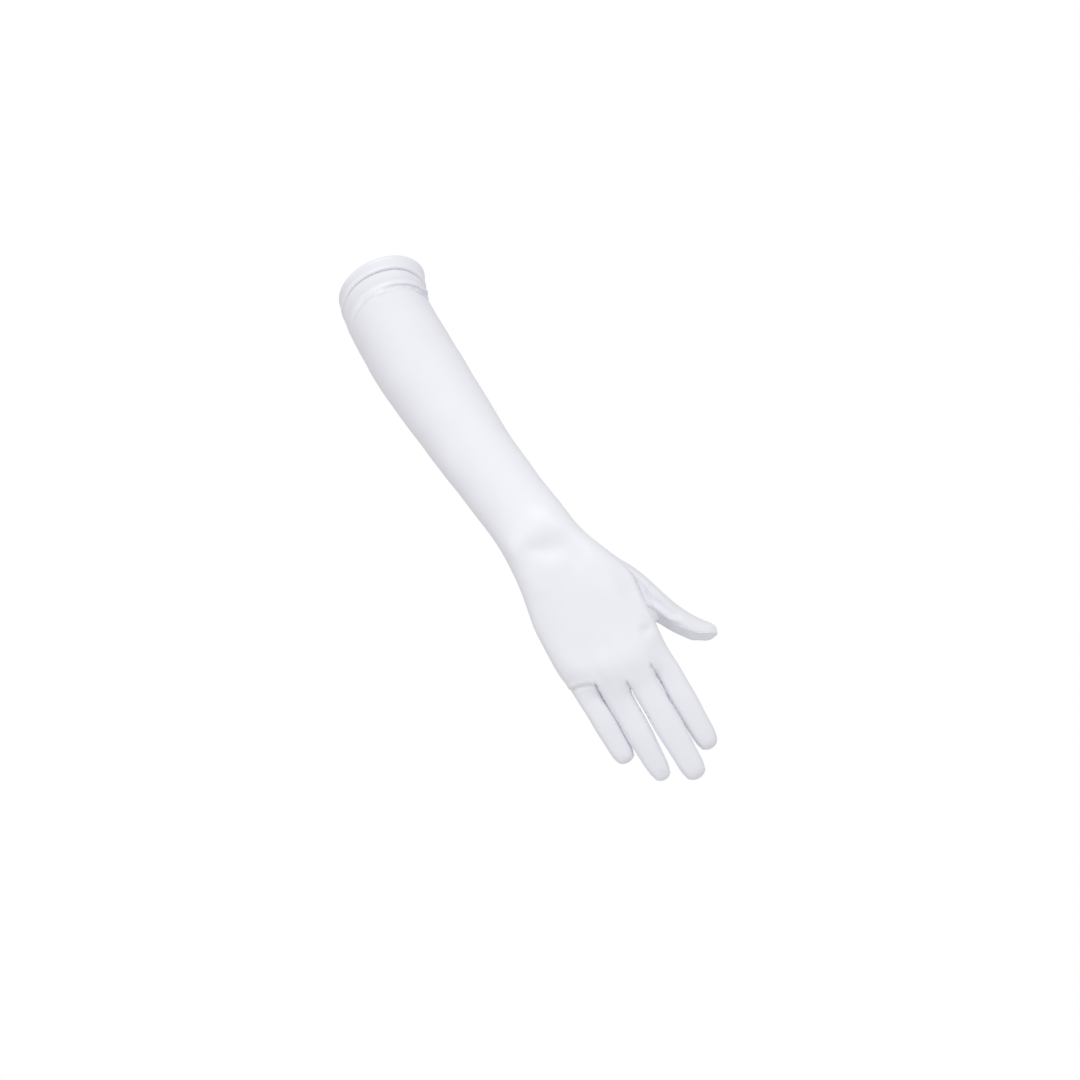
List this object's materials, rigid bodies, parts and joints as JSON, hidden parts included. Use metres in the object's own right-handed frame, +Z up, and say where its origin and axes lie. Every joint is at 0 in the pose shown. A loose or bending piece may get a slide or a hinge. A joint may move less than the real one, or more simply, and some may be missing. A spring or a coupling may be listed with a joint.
{
  "type": "long dress glove",
  "caption": "Above-elbow satin dress glove for a right hand, in its worn form: open hollow sleeve with a hem, flexed wrist, fingers with side strips and a set-in thumb.",
  "frame": {"origin": "centre of the arm opening, in the plane of the hem's free edge", "axes": "+Z up, towards the arm opening, with the fingers pointing down; +X towards the thumb; -Y the way the back of the hand faces"},
  "size_m": [0.1184, 0.2026, 0.4259],
  "materials": {
    "satin": "smooth white stretch satin",
    "satin_hem": "smooth white stretch satin, doubled and stitched"
  },
  "bodies": {
    "root": {"cuff_hem": "satin_hem", "back_panel": "satin", "palm_panel": "satin", "fourchette_ring_little": "satin", "fourchette_middle_ring": "satin", "fourchette_index_middle": "satin", "thumb_back": "satin", "thumb_palm": "satin"}
  },
  "joints": []
}
